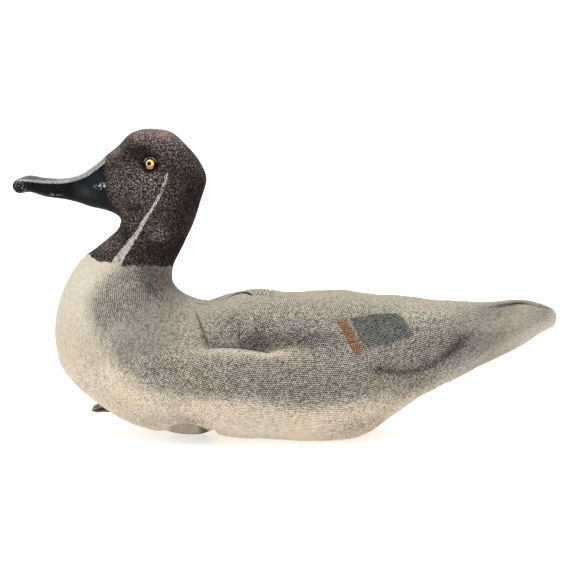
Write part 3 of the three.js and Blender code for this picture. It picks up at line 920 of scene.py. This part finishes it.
def body_paint(points, x, z, upward):
    """Paint of the body at each point: shares of a paint, and distances from the edges of one. The dark share takes
    a smooth step inside the grey's outline; bells along lines, and sprays, add to it or take from it. Some of it is
    painted light: shade in the folds and near the ground, a highlight on the tuck's lip, and the underside lighter
    against its shade. The grain is 1, less where the speckle is weaker. upward is 1 along the back and -1 along
    the belly."""
    across, high = points[:, 1], points[:, 2]
    grey = inside(GREY_EDGE, x, z)
    off_tuck = z - along(TUCK_LINE, x)
    off_flank, off_back = off_line(FLANK_BAND, x, z)[0], off_line(BACK_BAND, x, z)[0]
    # a painted highlight along the lit lip just below the tuck's crease
    lip_highlight = 0.17 * bell(off_tuck + 2.2, 1.8) * ease(-70, -62, x) * ease(14, -2, x)
    dark = 0.19 - lip_highlight + 0.525 * ease(-10, 10, grey) + sprayed(GREY_SPRAYS, x, z)
    dark += 0.05 * bell(off_flank, 15) * ease(-10, 8, grey) - 0.22 * bell(off_back, 17)
    # painted shade near the ground, and the downward faces below 60 painted a little lighter against their shade
    under = ease(0.3, 0.9, -upward) * ease(60, 20, high)
    dark = np.clip(dark + 0.05 * ease(60, 30, z) + 0.1 * ease(30, 4, z), 0, 1) * (1 - under * 0.2)
    dark += 0.22 * bell(points[:, 0] + 19.5, 7) * bell(across + 5, 7) * (high > 100)  # by the stitches

    grain = 1 - 0.68 * ease(110, 195, x)
    grain -= 0.3 * bell(x + 105, 45) * ease(52, 25, z)
    grain -= 0.55 * bell(off_back, 13) * ease(150, 100, x)
    grain -= 0.55 * ease(-150, -175, x) * ease(40, 75, z)
    grain -= 0.45 * bell(x + 130, 28) * ease(50, 80, z)
    grain -= 0.35 * bell(x + 55, 25) * bell(z - 70, 6)

    # the lobe below the crease under the breast, painted as shade, darkest at its rear tip
    shaded_lobe = ease(1.2, -0.8, z - along(CREASE_LINE, x)) * (high < 30) * between(-104, -92, -67.5, -65, x)
    shaded_lobe *= ease(7.6, 22.8, np.abs(across))
    streak, share = off_line(TAIL_STREAK, x, z)
    shade_height = 4.5 + 6 * between(-48, -38, -20, -8, x)
    return dict(
        dark=dark,
        grain=grain,
        warm=0.55 * ease(105, 60, z) * (1 - 0.8 * ease(-8, 8, grey)) + sprayed(WARM_SPRAYS, x, z),
        shaded_lobe=shaded_lobe,
        lobe_tip_shadow=shaded_lobe * ease(-78, -69, x),
        rust=inside(RUST_BAR, x, z),
        speculum=inside(SPECULUM, x, z),
        streak=bell(streak, 3.2 + 2.4 * share) * between(-0.02, 0.08, 0.72, 0.92, share),
        tuck=capped(off_tuck),
        # painted shadow along the tuck's crease, and painted shade above it
        tuck_shadow=(0.55 * ease(-69, -63, x) + 0.2 * ease(-44, -30, x)) * (1 - ease(-17, -8, x)),
        tuck_wide=0.1 + 0.6 * bell(x + 24, 9),
        tuck_shade=np.clip(1 - off_tuck / shade_height, 0, 1) ** 1.5 * between(-69, -62, -22, -7, x),
    )


def head_paint(x, z):
    """Paint of the head, neck and bill at each point, in the same way. The neck's stripe gives its half width less
    the distance from its middle. The bill's top is lightest along its lower edge in front: worn paint with a
    painted highlight."""
    off_stripe, share = off_line(NECK_STRIPE, x, z)
    ridge = z - along(BILL_RIDGE, x)
    base, axis = EYE_SEATS["left"]
    eye_x, eye_z = from_left((base + axis * GLASS_RIM)[None])
    return dict(
        head=capped(z - along(NECK_EDGE, x)),
        head_worn=np.clip(0.118 + sprayed(HEAD_SPRAYS, x, z), 0.02, 1),
        head_ochre=sprayed(OCHRE_SPRAYS, x, z),
        stripe=along(STRIPE_WIDTH, share) - np.abs(off_stripe),
        bill=np.where(z > 180, capped(x_at(BILL_EDGE, z) - x), -PAINT_REACH),
        bill_sheen=sprayed(SHEEN_SPRAYS, x, z),
        bill_top=capped(ridge),
        # along the front edge of the bill's top: worn paint with a painted highlight
        bill_top_tone_and_highlight=0.2 + 0.5 * ease(-210, -182, x) + 0.8 * bell(ridge - 1.3, 1.1) * ease(-182, -192, x),
        scuff_and_glint=sprayed(SCUFF_AND_GLINT_SPRAYS, x, z),
        eye_gap=capped(np.hypot(x - eye_x, z - eye_z)),
        eye_up=capped(z - eye_z),
    )


def dark_lines(points, x, z, upward):
    """Painted shadow in the closing seam's slit and in the lines of the folds, at each point: distance, width and how
    dark.
    """
    place = points[:, 0]
    top = (points[:, 2] > 90) & (place > -60) & (upward > 0.3)
    gape, tail_gape = between(-58, -52, -29, -25.5, place), between(190, 200, 226, 233, place)
    # the nearest fold line and the strength of the painted shadow in its groove
    line, ink = np.full(x.shape, AWAY), np.zeros(x.shape)
    for marks, strength in FOLD_SHADOW_LINES:
        off, part = off_line(marks, x, z)
        closer = np.abs(off) < np.abs(line)
        line = np.where(closer, off, line)
        ink = np.where(closer, strength * ease(0, 0.35, part) * (1 - ease(0.9, 1.0, part) * 0.3), ink)
    return dict(
        seam=capped(np.where(top, off_seam(points), AWAY)),
        # how dark the painted shadow in the seam's slit is, strongest where it gapes
        seam_shadow=gape + 0.9 * tail_gape + 0.4 * between(-20, -16, -6, -3, place) + 0.1,
        seam_wide=0.4 + gape * (1.2 - 0.7 * ease(-37, -33, place)) + 0.45 * tail_gape,
        line=capped(line),
        fold_line_shadow=ink,
    )


def make_skin():
    """The sewn skin with its filling and its paint. Its columns are closer along the back: each angle is an even
    turn t less 0.3 sin t and 0.12 sin 2t. Returns the skin's points."""
    table, stops, places = skin_rows()
    turn = np.linspace(0, TAU, SKIN_COLUMNS, endpoint=False)
    angles = turn - 0.3 * np.sin(turn) - 0.12 * np.sin(2 * turn)
    rings = skin_points(table, stops, places, angles)
    ends = [
        np.array([back_x + (belly_x - back_x) * widest, 0, back_z + (belly_z - back_z) * widest])
        for back_x, back_z, belly_x, belly_z, _, widest, _, _ in table[[0, -1]]
    ]
    rings = filled(rings, ends)
    skin = closed_mesh("sewn_skin", rings, *ends, uv=knit_places(rings))
    points = np.concatenate([rings.reshape(-1, 3), ends])
    x, z = from_left(points)
    upward = np.concatenate([np.tile(np.cos(angles), len(places)), [0, 0]])
    give(skin, **body_paint(points, x, z, upward), **head_paint(x, z), **dark_lines(points, x, z, upward))
    skin.data.materials.append(painted_knit())
    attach(skin, "root")
    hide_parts("stuffed_body")
    return points


def make_eye(side, finish):
    """A glass eye: a drum, a little narrower at its back, with a dome of cosine and sine on its front, turned about
    its seat's axis. Its uv is the place on its face, in radii."""
    base, axis = EYE_SEATS[side]
    bend = np.linspace(0, math.pi / 2, GLASS_ROWS)[:-1]
    radius = np.concatenate([[GLASS_RADIUS * 0.97, GLASS_RADIUS], GLASS_RADIUS * np.cos(bend)])
    height = np.concatenate([[0, 0.2], GLASS_RIM + GLASS_DOME * np.sin(bend)])
    across = unit(np.cross([0, 0, 1.0], axis))
    upward = np.cross(axis, across)
    angle = np.linspace(0, TAU, GLASS_SIDES, endpoint=False)
    spread = np.cos(angle)[:, None] * across + np.sin(angle)[:, None] * upward
    rings = base + height[:, None, None] * axis + radius[:, None, None] * spread
    eye = closed_mesh(f"glass_eye_{side}", rings, base, base + axis * (GLASS_RIM + GLASS_DOME), sharp=50)
    offset = (points_of(eye.data) - base) / GLASS_RADIUS
    flat = np.stack([offset @ (across * (1 if side == "left" else -1)), offset @ upward], -1)
    loops = np.zeros(len(eye.data.loops), np.int32)
    eye.data.loops.foreach_get("vertex_index", loops)
    eye.data.uv_layers.new(name="knit").data.foreach_set("uv", flat[loops].ravel())
    eye.data.materials.append(finish)
    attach(eye, "root")
    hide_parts(f"{side}_eye")


def make_tab():
    """The line tab: one strap folded forward on itself, a rounded rectangle carried along the fold's path, and a
    little narrower at the fold."""
    path = smooth_path(TAB_PATH, TAB_STEPS)
    ahead = unit(np.gradient(path, axis=0))
    turn = np.linspace(0, TAU, TAB_SIDES, endpoint=False)
    wide = np.sign(np.cos(turn)) * (TAB_HALF_WIDTH - TAB_CORNER) + TAB_CORNER * np.cos(turn)
    deep = np.sign(np.sin(turn)) * (TAB_HALF_THICK - TAB_CORNER) + TAB_CORNER * np.sin(turn)
    width = 1 - 0.12 * bell(np.linspace(0, 1, TAB_STEPS) - 0.42, 0.12)
    rings = np.zeros((TAB_STEPS, TAB_SIDES, 3))
    rings[..., 0] = path[:, None, 0] - ahead[:, None, 1] * deep
    rings[..., 1] = wide * width[:, None]
    rings[..., 2] = path[:, None, 1] + ahead[:, None, 0] * deep
    first, last = ([x, 0, z] for x, z in path[[0, -1]])
    tab = closed_mesh("line_tab_strap", rings, first, last, sharp=40)
    cut = (np.abs(wide) > TAB_HALF_WIDTH - TAB_CUT).astype(float)
    give(tab, cut_edge=np.concatenate([np.tile(cut, TAB_STEPS), [0, 0]]))
    tab.data.materials.append(dark_leather())
    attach(tab, "root")
    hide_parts("line_tab")


def make_stitches(skin):
    """The closing seam's zigzag: a thread that crosses the seam to and fro in straight lines, on the highest of the
    four skin points nearest to it, evened out over five steps, and lifted most where it crosses the middle."""
    share = np.linspace(0, 1, STITCH_STEPS)
    x = STITCH_FRONT + STITCH_LENGTH * share
    sweep = np.arcsin(np.sin(TAU * STITCH_WAVES * share)) / (math.pi / 2)
    y = STITCH_MIDDLE + STITCH_REACH * sweep
    upper = skin[skin[:, 2] > 100]
    gap = (upper[None, :, 0] - x[:, None]) ** 2 + (upper[None, :, 1] - y[:, None]) ** 2
    nearest = np.argsort(gap, axis=1)[:, :4]
    z = np.take_along_axis(np.broadcast_to(upper[:, 2], gap.shape), nearest, 1).max(1)
    z = np.convolve(np.pad(z, 2, mode="edge"), np.ones(5) / 5, mode="valid")
    path = np.stack([x, y, z + 0.45 + 0.35 * (1 - np.abs(sweep))], -1)
    thread = tube("closing_thread", path, THREAD_RADIUS)
    thread.data.materials.append(waxed_thread())
    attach(thread, "root")


def make_stage():
    """A pale floor, drawn wide, that curves up into a backdrop behind and lifts a little far off at its other
    sides. Its height is the sum of a profile across it and a profile along it, each piecewise straight."""
    bend = np.linspace(0, math.pi / 2, 16)
    out = np.concatenate([[-30, -12, -3], FLOOR_LEVEL_END + FLOOR_BEND * np.sin(bend), [2.5]])
    up = np.concatenate([[1.2, 0.15, 0], FLOOR_BEND - FLOOR_BEND * np.cos(bend), [3.5]])
    wide = np.array([-30.0, -12, -4, 4, 12, 30])
    lift = np.array([1.2, 0.15, 0, 0, 0.15, 1.2])
    points = np.stack(np.broadcast_arrays(wide[None], out[:, None], up[:, None] + lift[None]), -1)
    i, j = np.meshgrid(np.arange(len(out) - 1), np.arange(len(wide) - 1), indexing="ij")
    corner = (i * len(wide) + j).ravel()
    quads = np.stack([corner, corner + 1, corner + len(wide) + 1, corner + len(wide)], -1)
    mesh = bpy.data.meshes.new("floor")
    mesh.from_pydata(points.reshape(-1, 3).tolist(), [], quads.tolist())
    mesh.shade_smooth()
    mesh.materials.append(pale_paper())
    floor = placed("floor", mesh)


def make_light(name, place, target, width, energy):
    """A square soft light that faces its target."""
    data = bpy.data.lights.new(name, "AREA")
    data.size = width
    data.energy = energy
    light = placed(name, data)
    light.location = place
    back, side, up = np.array(place, float) - np.array(target, float)
    lean = math.atan2(math.hypot(back, side), up)
    light.rotation_euler = (lean, 0, math.atan2(side, back) + math.pi / 2)


def make_camera():
    """The photograph's view: level with its left side, a little above it."""
    data = bpy.data.cameras.new("camera")
    data.sensor_width = SENSOR_WIDTH
    data.lens = SENSOR_WIDTH * VIEW_DISTANCE / VIEW_WIDTH
    camera = placed("camera", data)
    back = np.array([0, -math.cos(VIEW_TILT), math.sin(VIEW_TILT)])
    camera.location = (VIEW_TARGET + back * VIEW_DISTANCE) / 1000
    camera.rotation_euler = (math.pi / 2 - VIEW_TILT, 0, 0)
    bpy.context.scene.camera = camera


def make_world():
    """Even white light from all round."""
    world = bpy.data.worlds.new("studio")
    world.use_nodes = True
    background = world.node_tree.nodes["Background"].inputs
    background["Color"].default_value = (1, 1, 1, 1)
    background["Strength"].default_value = WORLD_STRENGTH
    bpy.context.scene.world = world
    bpy.context.scene.view_settings.view_transform = "Standard"


make_camera()
skin_shape = make_skin()
eye_finish = glass_eye()
for eye_side in EYE_SEATS:
    make_eye(eye_side, eye_finish)
make_tab()
make_stitches(skin_shape)
make_stage()
for light_name, light_values in LIGHTS.items():
    make_light(light_name, *light_values)
make_world()
